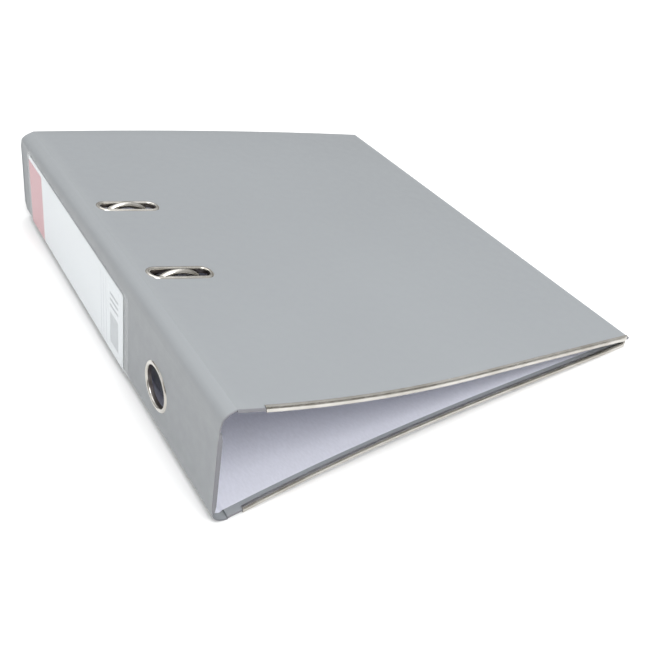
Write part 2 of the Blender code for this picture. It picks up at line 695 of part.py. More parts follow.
def make_lever(parent):
    """A pressed steel channel: pivot and roller at one end, a thumb tab at the other."""
    y_roll, z_roll = ROLLER_AXIS
    below = ((-35.0, 19.6), (-26.0, 19.0), (-18.0, 20.0), (y_roll - 7.0, 19.0),
             (y_roll - 3.2, z_roll - 1.0), (y_roll - 1.6, z_roll - 2.9),
             (y_roll + 1.6, z_roll - 2.9), (24.2, 21.6))
    lever = prism("lever", LEVER_TOP + below, LEVER_X, "nickel", parent)
    inside_top = [(y, z - PLATE) for y, z in LEVER_TOP[1:-1]]
    room_outline = [(32.0, inside_top[0][1])] + inside_top + [(-27.0, 5.0), (32.0, 5.0)]
    room = prism("lever_room", room_outline, (LEVER_X[0] + PLATE, LEVER_X[1] - PLATE))
    combine(lever, room, "DIFFERENCE")
    combine(lever, across("lever_bore", LEVER_PIVOT, 10.0, LEVER_PIN + GAP), "DIFFERENCE")
    combine(lever, across("roller_bore", ROLLER_AXIS, 10.0, ROLLER_PIN + GAP), "DIFFERENCE")


def make_roller(lever_parent, roller_parent):
    inside = (LEVER_X[0] + PLATE + 0.4, LEVER_X[1] - PLATE - 0.4)
    bore = ROLLER_PIN + GAP
    profile = ((bore, inside[0]), (ROLLER_RADIUS - 0.4, inside[0]), (ROLLER_RADIUS, inside[0] + 0.4),
               (ROLLER_RADIUS, inside[1] - 0.4), (ROLLER_RADIUS - 0.4, inside[1]), (bore, inside[1]))
    turned("lever_roller", profile, (0.0, *ROLLER_AXIS), (1, 0, 0), "black_plastic", roller_parent,
           sides=28)
    ends = (LEVER_X[0] - 0.2, LEVER_X[1] + 0.2)
    rod("roller_pin", (ends[0], *ROLLER_AXIS), (ends[1], *ROLLER_AXIS), ROLLER_PIN, "steel",
        lever_parent, sides=16)


# ---- Mechanism: paper compressor ------------------------------------------------------------
BAR_X = (43.6, 59.2)
BAR_HALF = 59.0
BAR_Z = DECK_Z + 1.6 + GAP


def make_compressor(parent):
    """A flat bar that slides on both posts, with a spring clip at each."""
    thickness = 1.2
    mesh = bmesh.new()
    add_block(mesh, BAR_X, (-BAR_HALF, BAR_HALF), (BAR_Z, BAR_Z + thickness))
    upright = [edge for edge in mesh.edges
               if abs(edge.verts[0].co.z - edge.verts[1].co.z) > 0.5 * thickness * MM]
    bmesh.ops.bevel(mesh, geom=upright, offset=6.0 * MM, offset_type="OFFSET", segments=4,
                    profile=0.5, affect="EDGES", material=-1, clamp_overlap=True)
    bar = finish_piece("compressor_bar", mesh, "black_plastic", parent)
    clip_z = BAR_Z + thickness + GAP
    for side, word in ((-1, "near"), (1, "far")):
        y = side * HOLE_SPACING / 2
        hole = rod(f"bar_hole_{word}", (POST_X, y, 0.0), (POST_X, y, 20.0), 2.6)
        combine(bar, hole, "DIFFERENCE")
        clip = block(f"compressor_clip_{word}", (POST_X - 4.5, POST_X + 7.0), (y - 4.0, y + 4.0),
                     (clip_z, clip_z + 0.8), "steel", parent)
        combine(clip, hole, "DIFFERENCE")
        tab = block(f"clip_tab_{word}", (POST_X + 5.6, POST_X + 7.0), (y - 4.0, y + 4.0),
                    (clip_z + 0.2, clip_z + 5.0))
        combine(clip, tab, "UNION")


# ---- Assembly -------------------------------------------------------------------------------
def build():
    spine_axis = add_axis("spine_hinge_axis", SPINE_HINGE[0], 0.0, SPINE_HINGE[1])
    front_axis = add_axis("front_hinge_axis", FRONT_HINGE[0], 0.0, FRONT_HINGE[1])
    arch_axis = add_axis("arch_axis", LEG_X, 0.0, AXLE_Z)
    lever_axis = add_axis("lever_axis", ARCH_MIDDLE, *LEVER_PIVOT)
    roller_axis = add_axis("roller_axis", CRANK_X, *ROLLER_AXIS)
    bar_axis = add_axis("compressor_axis", POST_X, 0.0, BAR_Z)
    card_axis = add_axis("label_axis", *spine_point(-0.5, 0.0, SPINE_FLAT / 2))

    make_back_cover()
    make_protector("back_edge_protector", CURL_START,
                   lambda x, y: back_height(x, y) + LAMINATE, None)
    make_spine(spine_axis)
    make_lower_fold(spine_axis)
    make_upper_fold(spine_axis)
    make_finger_ring(spine_axis)
    make_label(spine_axis, card_axis)
    make_front_cover(front_axis)
    make_protector("front_edge_protector", 29.0, front_height, front_axis)
    make_slot_rims(front_axis)

    make_base_plate()
    make_rivets()
    make_posts()
    make_arch_wire(arch_axis)
    make_lever_bracket()
    make_lever_pin()
    make_lever(lever_axis)
    make_roller(lever_axis, roller_axis)
    make_compressor(bar_axis)


clear_scene()
MATERIALS = make_materials()
build()
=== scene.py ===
# %% [markdown]
# # A lever arch file, finished
#
# The file is a case of three stiff panels in grey film, joined by two soft folds, with a lever
# arch mechanism riveted inside. The frame brings in the plain solids with their joints. This
# lesson puts the real surfaces round them: film that wraps the boards, rolled metal edges,
# pressed rims, a bent wire, a label in its pocket, and a finish for every piece.

import math

import bmesh
import bpy
from mathutils import Matrix, Vector


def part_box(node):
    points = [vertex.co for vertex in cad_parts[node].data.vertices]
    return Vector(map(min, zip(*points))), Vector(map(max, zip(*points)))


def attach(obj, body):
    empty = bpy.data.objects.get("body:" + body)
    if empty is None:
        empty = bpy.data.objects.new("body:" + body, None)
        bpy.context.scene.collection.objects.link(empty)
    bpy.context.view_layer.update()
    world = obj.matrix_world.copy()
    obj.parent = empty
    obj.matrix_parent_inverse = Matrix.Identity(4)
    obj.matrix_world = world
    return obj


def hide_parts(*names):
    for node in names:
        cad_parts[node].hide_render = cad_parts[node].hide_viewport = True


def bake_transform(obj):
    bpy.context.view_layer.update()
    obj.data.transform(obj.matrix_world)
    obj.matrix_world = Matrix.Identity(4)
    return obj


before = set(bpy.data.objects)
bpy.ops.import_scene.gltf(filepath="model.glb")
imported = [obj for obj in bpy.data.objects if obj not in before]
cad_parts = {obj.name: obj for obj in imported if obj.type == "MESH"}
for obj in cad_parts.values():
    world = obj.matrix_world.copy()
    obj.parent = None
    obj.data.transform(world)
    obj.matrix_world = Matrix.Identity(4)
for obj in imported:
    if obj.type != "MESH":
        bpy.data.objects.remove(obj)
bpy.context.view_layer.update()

# %% [markdown]
# ## Measures
#
# Everything is placed from the frame's own boxes. Lengths are in millimetres: x from the spine's
# foot to the fore-edge, y along the spine from its middle and z up from the table. Three
# functions say where the stiff panels run, because film, lining and metal all follow them.

# %% Measures
MM = 0.001
FRONT_START = 15.0                       # the front cover starts here, past the upper fold
BACK_START = 8.0                         # the back cover starts here, past the lower fold
SPINE_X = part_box("front_film")[0].x - (FRONT_START + 0.3) * MM
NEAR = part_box("front_edge_protector")[0].y / MM
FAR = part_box("front_film")[1].y / MM
FORE = (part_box("front_edge_protector")[1].x - SPINE_X) / MM
LENGTH = FAR - NEAR
LEAN = math.radians(6.4)                 # the spine leans in over the contents
FOLD = 8.0                               # outside radius of the lower fold
PANEL = 1.8                              # a cover board with its film turned in behind it
SPINE_PANEL = 1.3                        # the spine's board is thinner
COVER_NEAR = NEAR + 0.42                 # the panels' near edge, inside the metal
CORNER = 3.4                             # round corners at the fore-edge


# heights of the front cover's outer face, and how its two ends curve
NEAR_LIP = 7.2
NEAR_SLOPE = 0.177
SAG_START = 155.0
SAG_LENGTH = 125.5
SAG_RISE = 12.9
FAR_LIP = 5.3
FAR_RISE = 59.3
FAR_BOW = 8.0
CROWN = 4.8                              # four times the extra height halfway along

# the back cover's curl: how deep it reaches from the near end, where it starts, how it rises
CURL_DEPTH = 70.0
CURL_START = 16.0
CURL_LIFT = 0.9
CURL_BOW = 6.0
CURL_SKEW = 1.6                          # makes the bow highest nearer the spine
CURL_PEAK = 0.1766                       # about the highest value of u * (1 - u) ** CURL_SKEW


def at(x, y, z):
    """A point of the file, in metres."""
    return Vector((SPINE_X + x * MM, y * MM, z * MM))


def front_surface(x, y, depth=0.0):
    """The front cover: sagging along its near edge, slightly arched along its far edge."""
    from_fore = FORE - x
    near = NEAR_LIP + NEAR_SLOPE * from_fore + SAG_RISE * (max(0.0, SAG_START - x) / SAG_LENGTH) ** 2
    u = (x - FRONT_START) / (FORE - FRONT_START)
    far = FAR_LIP + FAR_RISE * (1.0 - u) + FAR_BOW * u * (1.0 - u)
    along = (y - NEAR) / LENGTH
    crown = CROWN * (1.0 - u) * along * (1.0 - along)
    return at(x, y, near + (far - near) * along + crown - depth)


def back_surface(x, y, depth=0.0):
    """The back cover: flat on the table but for a curl along its near edge."""
    inside = max(0.0, 1.0 - (y - NEAR) / CURL_DEPTH)
    u = min(1.0, max(0.0, (x - CURL_START) / (FORE - CURL_START)))
    ramp = min(1.0, max(0.0, (x - BACK_START) / (CURL_START - BACK_START)))
    bow = CURL_BOW * u * (1.0 - u) ** CURL_SKEW / CURL_PEAK
    return at(x, y, (CURL_LIFT * ramp + bow) * inside ** 2 + depth)


SPINE_FOOT = (FOLD * (1.0 - math.cos(LEAN)), FOLD * (1.0 + math.sin(LEAN)))
SPINE_FLAT = 51.4


def spine_surface(up, y, depth=0.0):
    """The leaning spine, and below it the round of the lower fold."""
    if up < 0.0:
        angle = math.pi / 2 + LEAN + up / FOLD
        radius = FOLD - depth
        return at(FOLD - radius * math.sin(angle), y, FOLD - radius * math.cos(angle))
    x = SPINE_FOOT[0] + up * math.sin(LEAN) + depth * math.cos(LEAN)
    return at(x, y, SPINE_FOOT[1] + up * math.cos(LEAN) - depth * math.sin(LEAN))


LOWER_ROUND = FOLD * (math.pi / 2 + LEAN)  # length of film round the lower fold

# where the upper fold bends: x, and how far below the front cover's edge
FOLD_BEND = (6.8, 2.6)
FOLD_RUN = (8.5, 1.4)


def upper_fold_surface(t, y, depth=0.0):
    """The upper fold, t from 0 at the spine's head to 1 at the front cover."""
    head = spine_surface(SPINE_FLAT, y)
    edge = front_surface(FRONT_START, y)
    second = at(FOLD_BEND[0], y, edge.z / MM - FOLD_BEND[1])
    third = at(FOLD_RUN[0], y, edge.z / MM - FOLD_RUN[1])
    s = 1.0 - t
    point = s ** 3 * head + 3 * s * s * t * second + 3 * s * t * t * third + t ** 3 * edge
    heading = s * s * (second - head) + 2 * s * t * (third - second) + t * t * (edge - third)
    heading.normalize()
    return point + Vector((heading.z, 0.0, -heading.x)) * depth * MM


# %% [markdown]
# ## Working helpers
#
# Each piece starts as a small bmesh, is shaped with bmesh operators, and becomes an object whose
# place is in its mesh. One helper does that last step for all of them: it turns the faces
# outwards, smooths what is round, and ties the piece to the body that carries it.

# %% Helpers for pieces
def settle(mesh, name, material, body, stands_for=(), sharp=35.0):
    """Make a bmesh a finished piece that rides on a body, or a loose one if body is None."""
    bmesh.ops.recalc_face_normals(mesh, faces=mesh.faces)
    if mesh.calc_volume(signed=True) < 0.0:
        bmesh.ops.reverse_faces(mesh, faces=mesh.faces)
    data = bpy.data.meshes.new(name)
    mesh.to_mesh(data)
    mesh.free()
    data.shade_smooth()
    data.set_sharp_from_angle(angle=math.radians(sharp))
    piece = bpy.data.objects.new(name, data)
    bpy.context.scene.collection.objects.link(piece)
    if material is not None:
        data.materials.append(material)
    if body is not None:
        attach(piece, body)
    if stands_for:
        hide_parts(*stands_for)
    print(f"{name}: {len(data.polygons)} faces")
    return piece


def shade_inside(piece, finish, is_inside):
    """Give a second finish to the faces whose middle passes a test."""
    piece.data.materials.append(finish)
    for face in piece.data.polygons:
        if is_inside(face.center):
            face.material_index = 1


def bake(piece):
    """Apply a piece's modifiers to its mesh."""
    bpy.context.view_layer.update()
    seen = piece.evaluated_get(bpy.context.evaluated_depsgraph_get())
    data = bpy.data.meshes.new_from_object(seen)
    piece.modifiers.clear()
    piece.data = data


def cut(piece, cutters):
    """Cut holes through a piece, and throw the cutters away afterwards."""
    for cutter in cutters:
        change = piece.modifiers.new("hole", "BOOLEAN")
        change.operation = "DIFFERENCE"
        change.solver = "EXACT"
        change.object = cutter
    bake(piece)
    piece.data.set_sharp_from_angle(angle=math.radians(35.0))
    for cutter in cutters:
        bpy.data.objects.remove(cutter, do_unlink=True)


def panel_mesh(surface, a, y, cells, depth, corner=0.0, edge=0.0, seams=(True, False)):
    """A sheet on surface(a, y, depth), between two depths, with rounded corners and edges.

    seams says whether the low and the high side in a are left square, to meet a fold."""
    mesh = bmesh.new()
    bmesh.ops.create_grid(mesh, x_segments=cells[0], y_segments=cells[1], size=0.5)
    moved = bmesh.ops.extrude_face_region(mesh, geom=mesh.faces[:])["geom"]
    second = [item for item in moved if isinstance(item, bmesh.types.BMVert)]
    bmesh.ops.translate(mesh, verts=second, vec=(0.0, 0.0, 1.0))

    for side in mesh.edges:
        low = all(v.co.x < -0.499 for v in side.verts)
        high = all(v.co.x > 0.499 for v in side.verts)
        side.seam = (low and seams[0]) or (high and seams[1])
    folds = [e for e in mesh.edges if e.calc_face_angle(0.0) > 1.0 and not e.seam]
    upright = [e for e in folds if abs(e.verts[0].co.z - e.verts[1].co.z) > 0.5]
    for corner_point in mesh.verts:
        u, v, w = corner_point.co
        across = a[0] + (a[1] - a[0]) * (u + 0.5)
        along = y[0] + (y[1] - y[0]) * (v + 0.5)
        corner_point.co = surface(across, along, depth[0] + (depth[1] - depth[0]) * w)
    if corner:
        bmesh.ops.bevel(mesh, geom=upright, offset=corner * MM, offset_type="OFFSET", segments=5,
                        profile=0.5, affect="EDGES", material=-1, clamp_overlap=True)
    if edge:
        rims = [e for e in mesh.edges if e.calc_face_angle(0.0) > 1.0 and not e.seam]
        bmesh.ops.bevel(mesh, geom=rims, offset=edge * MM, offset_type="OFFSET", segments=3,
                        profile=0.5, affect="EDGES", material=-1, clamp_overlap=True)
    return mesh


# %% [markdown]
# ## Finishes
#
# Every finish is a Principled shader with a little procedural life. A short set of helpers makes
# the nodes: noise in Object coordinates, a colour spread over it, and a bump from it. Values that
# are the same all over are set straight on the shader's sockets.

# %% Helpers for finishes
def new_finish(name, colour, roughness, metallic=0.0):
    material = bpy.data.materials.new(name)
    material.use_nodes = True
    tree = material.node_tree
    shader = tree.nodes["Principled BSDF"]
    shader.inputs["Base Color"].default_value = (*colour, 1.0)
    shader.inputs["Roughness"].default_value = roughness
    shader.inputs["Metallic"].default_value = metallic
    place = tree.nodes.new("ShaderNodeTexCoord").outputs["Object"]
    return material, tree, shader, place


def noise(tree, place, scale, detail=4.0, stretch=(1.0, 1.0, 1.0)):
    """Noise with a grain size of about 1 / scale metres, longer where stretch is small."""
    mapping = tree.nodes.new("ShaderNodeMapping")
    mapping.inputs["Scale"].default_value = stretch
    texture = tree.nodes.new("ShaderNodeTexNoise")
    texture.inputs["Scale"].default_value = scale
    texture.inputs["Detail"].default_value = detail
    tree.links.new(place, mapping.inputs["Vector"])
    tree.links.new(mapping.outputs["Vector"], texture.inputs["Vector"])
    return texture.outputs["Fac"]


def spread(tree, value, low, high, start=0.3, end=0.7):
    """Map a value onto a range of numbers."""
    node = tree.nodes.new("ShaderNodeMapRange")
    node.inputs["From Min"].default_value = start
    node.inputs["From Max"].default_value = end
    node.inputs["To Min"].default_value = low
    node.inputs["To Max"].default_value = high
    tree.links.new(value, node.inputs["Value"])
    return node.outputs["Result"]


def colours(tree, value, first, second, start=0.3, end=0.7):
    """Spread a value between two colours."""
    ramp = tree.nodes.new("ShaderNodeValToRGB")
    ramp.color_ramp.elements[0].position = start
    ramp.color_ramp.elements[0].color = (*first, 1.0)
    ramp.color_ramp.elements[1].position = end
    ramp.color_ramp.elements[1].color = (*second, 1.0)
    tree.links.new(value, ramp.inputs["Fac"])
    return ramp.outputs["Color"]


def mix(tree, factor, first, second):
    """One colour, or another where factor is 1. Either may be an output or a plain colour."""
    node = tree.nodes.new("ShaderNodeMix")
    node.data_type = "RGBA"
    tree.links.new(factor, node.inputs["Factor"])
    for name, colour in (("A", first), ("B", second)):
        socket = next(s for s in node.inputs if s.name == name and s.type == "RGBA")
        if isinstance(colour, tuple):
            socket.default_value = (*colour, 1.0)
        else:
            tree.links.new(colour, socket)
    return next(s for s in node.outputs if s.type == "RGBA")


def maths(tree, operation, *values):
    node = tree.nodes.new("ShaderNodeMath")
    node.operation = operation
    for socket, value in zip(node.inputs, values):
        if isinstance(value, (int, float)):
            socket.default_value = value
        else:
            tree.links.new(value, socket)
    return node.outputs["Value"]


def bump(tree, shader, height, strength, distance):
    """Add a relief of that many metres to whatever relief the shader has already."""
    node = tree.nodes.new("ShaderNodeBump")
    node.inputs["Strength"].default_value = strength
    node.inputs["Distance"].default_value = distance
    tree.links.new(height, node.inputs["Height"])
    before = shader.inputs["Normal"].links
    if before:
        tree.links.new(before[0].from_socket, node.inputs["Normal"])
    tree.links.new(node.outputs["Normal"], shader.inputs["Normal"])


# %% [markdown]
# ### Film and paper
#
# The outer film is smooth grey plastic with a fine, soft grain, so light spreads over it without
# a hard reflection. On the folds the same film is stressed: it pales a little and creases run
# along it. Its rounded near edge is painted darker, as painted shade. The lining is coated paper
# with a lilac tint, and the board is raw grey card.

# %% Film, lining and board finishes
FILM_GREY = (0.264, 0.280, 0.295)
FILM_PALE = (0.272, 0.289, 0.304)
FOLD_PALE = (0.289, 0.305, 0.318)
# painted shade for the film's rounded near edge
FILM_EDGE_SHADE = (0.150, 0.148, 0.165)

# the middle of each fold as x and z, and where its creases start and stop fading
UPPER_CREASE = (10.5, 63.0, 5.0, 13.0)
LOWER_CREASE = (6.0, 6.0, 6.0, 11.0)


def near_line(tree, place, x, z, inner, outer):
    """1 near a line along the file, fading to 0 between two distances in millimetres."""
    flat = tree.nodes.new("ShaderNodeVectorMath")
    flat.operation = "MULTIPLY"
    flat.inputs[1].default_value = (1.0, 0.0, 1.0)
    tree.links.new(place, flat.inputs[0])
    away = tree.nodes.new("ShaderNodeVectorMath")
    away.operation = "DISTANCE"
    line = at(x, 0.0, z)
    away.inputs[1].default_value = (line.x, 0.0, line.z)
    tree.links.new(flat.outputs["Vector"], away.inputs[0])
    return spread(tree, away.outputs["Value"], 1.0, 0.0, inner * MM, outer * MM)


def make_film(name):
    material, tree, shader, place = new_finish(name, FILM_GREY, 0.48)
    cloud = noise(tree, place, 9.0, 3.0)
    base = colours(tree, cloud, FILM_GREY, FILM_PALE, 0.35, 0.75)
    upper = near_line(tree, place, *UPPER_CREASE)
    lower = near_line(tree, place, *LOWER_CREASE)
    stressed = maths(tree, "MAXIMUM", upper, lower)
    streak = noise(tree, place, 420.0, 3.0, (1.0, 0.04, 1.0))
    creased = maths(tree, "MULTIPLY", stressed, spread(tree, streak, 0.5, 1.0, 0.35, 0.7))
    base = mix(tree, creased, base, FOLD_PALE)
    bump(tree, shader, maths(tree, "MULTIPLY", stressed, streak), 0.25, 0.00012)
    grain = noise(tree, place, 2600.0, 2.0)
    ripple = noise(tree, place, 14.0, 2.0, (1.0, 0.5, 1.0))
    parts = tree.nodes.new("ShaderNodeSeparateXYZ")
    tree.links.new(place, parts.inputs["Vector"])
    # the last millimetre of film at the near end is painted darker: painted shade on its rounded near
    # edge
    fading = ((COVER_NEAR + 0.1) * MM, (COVER_NEAR + 0.9) * MM)
    edge = spread(tree, parts.outputs["Y"], 0.8, 0.0, *fading)
    base = mix(tree, edge, base, FILM_EDGE_SHADE)
    tree.links.new(base, shader.inputs["Base Color"])
    tree.links.new(spread(tree, noise(tree, place, 160.0), 0.43, 0.53), shader.inputs["Roughness"])
    bump(tree, shader, ripple, 0.3, 0.0006)
    bump(tree, shader, grain, 0.22, 0.00004)
    return material


def make_paper(name, first, second, roughness):
    material, tree, shader, place = new_finish(name, first, roughness)
    fibre = noise(tree, place, 900.0, 6.0, (1.0, 0.35, 1.0))
    tree.links.new(colours(tree, fibre, first, second, 0.35, 0.7), shader.inputs["Base Color"])
    bump(tree, shader, fibre, 0.2, 0.00005)
    bump(tree, shader, noise(tree, place, 30.0, 2.0), 0.3, 0.0004)
    return material


film = make_film("grey_film")
lining_paper = make_paper("lilac_lining", (0.655, 0.665, 0.735), (0.70, 0.71, 0.785), 0.6)
grey_board = make_paper("raw_grey_board", (0.28, 0.26, 0.23), (0.38, 0.35, 0.31), 0.9)
print("film, lining and board finishes made")

# %% [markdown]
# ### Metal
#
# Rims, edges, wire and lever are nickel plated: warm, bright and a little uneven, with hairline
# scratches. A much darker version is painted shade, for faces down inside the slots and the
# finger hole. The base plate and its bracket are plain zinc plated sheet, duller and streaked in
# the direction in which the strip was rolled.

# %% Metal finishes
def make_metal(name, dark, light, rough, stretch):
    material, tree, shader, place = new_finish(name, light, rough[0], 1.0)
    streak = noise(tree, place, 700.0, 5.0, stretch)
    patch = noise(tree, place, 60.0, 3.0)
    tree.links.new(colours(tree, patch, dark, light, 0.3, 0.65), shader.inputs["Base Color"])
    tree.links.new(spread(tree, streak, rough[0], rough[1]), shader.inputs["Roughness"])
    bump(tree, shader, streak, 0.12, 0.00002)
    return material


nickel = make_metal("nickel_plate", (0.43, 0.41, 0.37), (0.59, 0.575, 0.54), (0.14, 0.28),
                    (0.15, 1.0, 1.0))
# a much darker nickel, painted shade for faces down inside the holes
nickel_painted_shade = make_metal("nickel_in_shade", (0.09, 0.08, 0.08), (0.2, 0.18, 0.17), (0.3, 0.5),
                           (1.0, 1.0, 1.0))
zinc = make_metal("zinc_sheet", (0.52, 0.54, 0.56), (0.68, 0.70, 0.72), (0.28, 0.46),
                  (1.0, 0.08, 1.0))
print("metal finishes made")


# %% Plastic finishes
def make_black_plastic():
    material, tree, shader, place = new_finish("black_plastic", (0.02, 0.02, 0.022), 0.42)
    grain = noise(tree, place, 1500.0, 3.0)
    tree.links.new(colours(tree, grain, (0.014, 0.014, 0.016), (0.03, 0.03, 0.033)),
                   shader.inputs["Base Color"])
    tree.links.new(spread(tree, grain, 0.36, 0.52), shader.inputs["Roughness"])
    bump(tree, shader, grain, 0.25, 0.00005)
    return material


def make_clear_film():
    material, tree, shader, place = new_finish("clear_pocket_film", (0.86, 0.88, 0.90), 0.12)
    haze = noise(tree, place, 45.0, 3.0, (1.0, 0.3, 1.0))
    tree.links.new(colours(tree, haze, (0.80, 0.83, 0.85), (0.9, 0.92, 0.93)),
                   shader.inputs["Base Color"])
    tree.links.new(spread(tree, haze, 0.1, 0.24), shader.inputs["Roughness"])
    shader.inputs["Alpha"].default_value = 0.12
    bump(tree, shader, haze, 0.35, 0.0003)
    return material


black_plastic = make_black_plastic()
clear_film = make_clear_film()
print("plastic finishes made")

# %% [markdown]
# ### The label's print
#
# The card carries a plain rose panel at its far end, a few pale ruled lines and a small grey
# ruled block at its near end. These are rectangles in the card's own y and z, made from compare
# nodes, so the print stays on the card when it slides.

# %% Label finish
LABEL_Y = (-40.3, 140.0)
ROSE_Y = 111.0                           # the rose panel starts here
RULE_Y = (-5.0, -9.0, -13.5)
BLOCK_Y = (-33.0, -20.0)
BLOCK_Z = (14.0, 35.0)
LINE_Z = (39.0, 43.0, 47.0)
BARS_PER_METRE = 900.0


def rectangle(tree, y, z, low, high):
    """1 inside a rectangle given in millimetres, and 0 outside it."""
    inside_y = maths(tree, "COMPARE", y, (low[0] + high[0]) / 2 * MM, (high[0] - low[0]) / 2 * MM)
    inside_z = maths(tree, "COMPARE", z, (low[1] + high[1]) / 2 * MM, (high[1] - low[1]) / 2 * MM)
    return maths(tree, "MULTIPLY", inside_y, inside_z)


def make_label_finish():
    white = (0.80, 0.835, 0.86)
    material, tree, shader, place = new_finish("printed_label", white, 0.5)
    parts = tree.nodes.new("ShaderNodeSeparateXYZ")
    tree.links.new(place, parts.inputs["Vector"])
    y = parts.outputs["Y"]
    z = parts.outputs["Z"]
    fibre = noise(tree, place, 1100.0, 5.0)
    base = colours(tree, fibre, white, tuple(1.03 * part for part in white))
    rose = rectangle(tree, y, z, (ROSE_Y, 0.0), (LABEL_Y[1] + 2.0, 55.0))
    base = mix(tree, rose, base, (0.64, 0.33, 0.36))
    for low_y in RULE_Y:
        line = rectangle(tree, y, z, (low_y - 0.3, 8.0), (low_y + 0.3, 54.0))
        base = mix(tree, line, base, (0.56, 0.59, 0.63))
    block = rectangle(tree, y, z, (BLOCK_Y[0], BLOCK_Z[0]), (BLOCK_Y[1], BLOCK_Z[1]))
    wave = maths(tree, "FRACT", maths(tree, "MULTIPLY", z, BARS_PER_METRE))
    bars = maths(tree, "GREATER_THAN", wave, 0.45)
    base = mix(tree, maths(tree, "MULTIPLY", block, bars), base, (0.30, 0.33, 0.36))
    for low_z in LINE_Z:
        line = rectangle(tree, y, z, (BLOCK_Y[0], low_z), (BLOCK_Y[1], low_z + 1.6))
        base = mix(tree, line, base, (0.42, 0.45, 0.48))
    tree.links.new(base, shader.inputs["Base Color"])
    bump(tree, shader, fibre, 0.12, 0.00004)
    return material


label_print = make_label_finish()
print("label finish made")

# %% [markdown]
# ## The three panels
#
# On the real file each board is wrapped in film that turns in round its edges, and the lining is
# glued over the turned-in strip. So each panel here is three pieces: a hollow film wrap with
# rounded edges, the board inside it, and a lining sheet that stops short of the edges. The wrap
# is made solid first and hollowed by a Solidify modifier.

# %% Slot and hole cutters
SLOT_X = 38.6
SLOT_STRAIGHT = 13.0
SLOT_Y = (-40.0, 40.0)
SLOT_CUT = 4.6                           # radius of the slots' round ends in the cover
RING = (22.5, -86.8)                     # finger ring: up the spine, and along it
RING_CUT = 12.4                          # radius of the ring's hole in the spine


def oval(radius, steps=14):
    """Points round a slot, at a distance from its middle line."""
    points = []
    for end in (1, -1):
        for i in range(steps + 1):
            angle = -math.pi / 2 + math.pi * i / steps + (0.0 if end == 1 else math.pi)
            points.append((end * SLOT_STRAIGHT + radius * math.cos(angle), radius * math.sin(angle)))
    return points


def slot_cutters():
    """Two upright bars with round ends, to cut the arches' slots."""
    cutters = []
    for middle_y in SLOT_Y:
        mesh = bmesh.new()
        ring = [mesh.verts.new(at(SLOT_X + x, middle_y + y, 40.0)) for x, y in oval(SLOT_CUT)]
        moved = bmesh.ops.extrude_face_region(mesh, geom=[mesh.faces.new(ring)])["geom"]
        upper = [item for item in moved if isinstance(item, bmesh.types.BMVert)]
        bmesh.ops.translate(mesh, verts=upper, vec=(0.0, 0.0, 45.0 * MM))
        cutters.append(settle(mesh, "slot_cutter", None, None))
    return cutters


def ring_frame():
    """The finger ring's place: z along the hole, inwards."""
    inward = (spine_surface(RING[0], RING[1], 1.0) - spine_surface(RING[0], RING[1])).normalized()
    turn = inward.to_track_quat("Z", "Y").to_matrix().to_4x4()
    return Matrix.Translation(spine_surface(RING[0], RING[1])) @ turn


def ring_cutter():
    mesh = bmesh.new()
    bmesh.ops.create_cone(mesh, cap_ends=True, segments=96, radius1=RING_CUT * MM,
                          radius2=RING_CUT * MM, depth=20 * MM, matrix=ring_frame())
    return [settle(mesh, "ring_cutter", None, None)]


# %% Film wraps, boards and linings
WRAP_WALL = 0.25
EDGE_ROUND = 0.42                        # the wrap's rounded edges, as a share of its thickness
BOARD_INSET = 0.5
BOARD_GAP = 0.3                          # between the board's faces and the wrap's
LINING_MARGIN = 7.0                      # film left showing round the lining
LINING_NEAR = 5.0                        # and at its near edge
LINING_DEPTHS = (0.03, 0.18)             # the lining's two faces, past what it is glued to


def make_panel(word, surface, a, thickness, seams, body, cells, corner, cutters):
    """The wrap, the board and the lining of one panel; cutters() makes what is cut out."""
    y = (COVER_NEAR, FAR + 0.2)
    wrap_mesh = panel_mesh(surface, a, y, cells, (0.0, thickness), corner, EDGE_ROUND * thickness,
                           seams)
    wrap = settle(wrap_mesh, f"{word}_film_wrap", film, body, (f"{word}_film",))
    board_a = (a[0] + BOARD_INSET, a[1] - BOARD_INSET)
    board_y = (y[0] + BOARD_INSET, y[1] - BOARD_INSET)
    board_mesh = panel_mesh(surface, board_a, board_y, cells, (BOARD_GAP, thickness - BOARD_GAP),
                            corner, 0.0, seams)
    board = settle(board_mesh, f"{word}_board_core", grey_board, body,
                   (f"{word}_board",))
    low, high = (0.0 if seam else LINING_MARGIN for seam in seams)
    lining_a = (a[0] + low, a[1] - high)
    lining_y = (y[0] + LINING_NEAR, y[1] - LINING_MARGIN)
    lining_depths = (thickness + LINING_DEPTHS[0], thickness + LINING_DEPTHS[1])
    lining_mesh = panel_mesh(surface, lining_a, lining_y, cells, lining_depths, 0.0, 0.0, seams)
    lining = settle(lining_mesh, f"{word}_lining_sheet", lining_paper, body,
                    (f"{word}_lining",))
    if cutters is not None:
        for piece in (wrap, board, lining):
            cut(piece, cutters())
    hollow = wrap.modifiers.new("film", "SOLIDIFY")
    hollow.thickness = WRAP_WALL * MM
    hollow.offset = -1.0
    bake(wrap)


make_panel("front", front_surface, (FRONT_START, FORE - 0.1), PANEL, (True, False), "front_cover",
           (54, 36), CORNER, slot_cutters)
make_panel("back", back_surface, (BACK_START, FORE - 0.1), PANEL, (True, False), "root",
           (54, 54), CORNER, None)
make_panel("spine", spine_surface, (0.0, SPINE_FLAT), SPINE_PANEL, (True, True), "spine",
           (12, 54), 0.0, ring_cutter)

# %% [markdown]
# ## The folds
#
# Between the panels there is no board, only film with lining behind it. Each fold is modelled
# where it rests, as a loose piece. The lining lies against the film in the middle, and steps
# inwards at each side to meet the lining of the panels.

# %% Folds
FOLD_FILM = 0.35
FOLD_CELLS = (24, 60)
GROOVE_SIDE = 0.22                       # share of the fold, at each side, where its lining dips


def lower_fold_surface(t, y, depth=0.0):
    return spine_surface((t - 1.0) * LOWER_ROUND, y, depth)


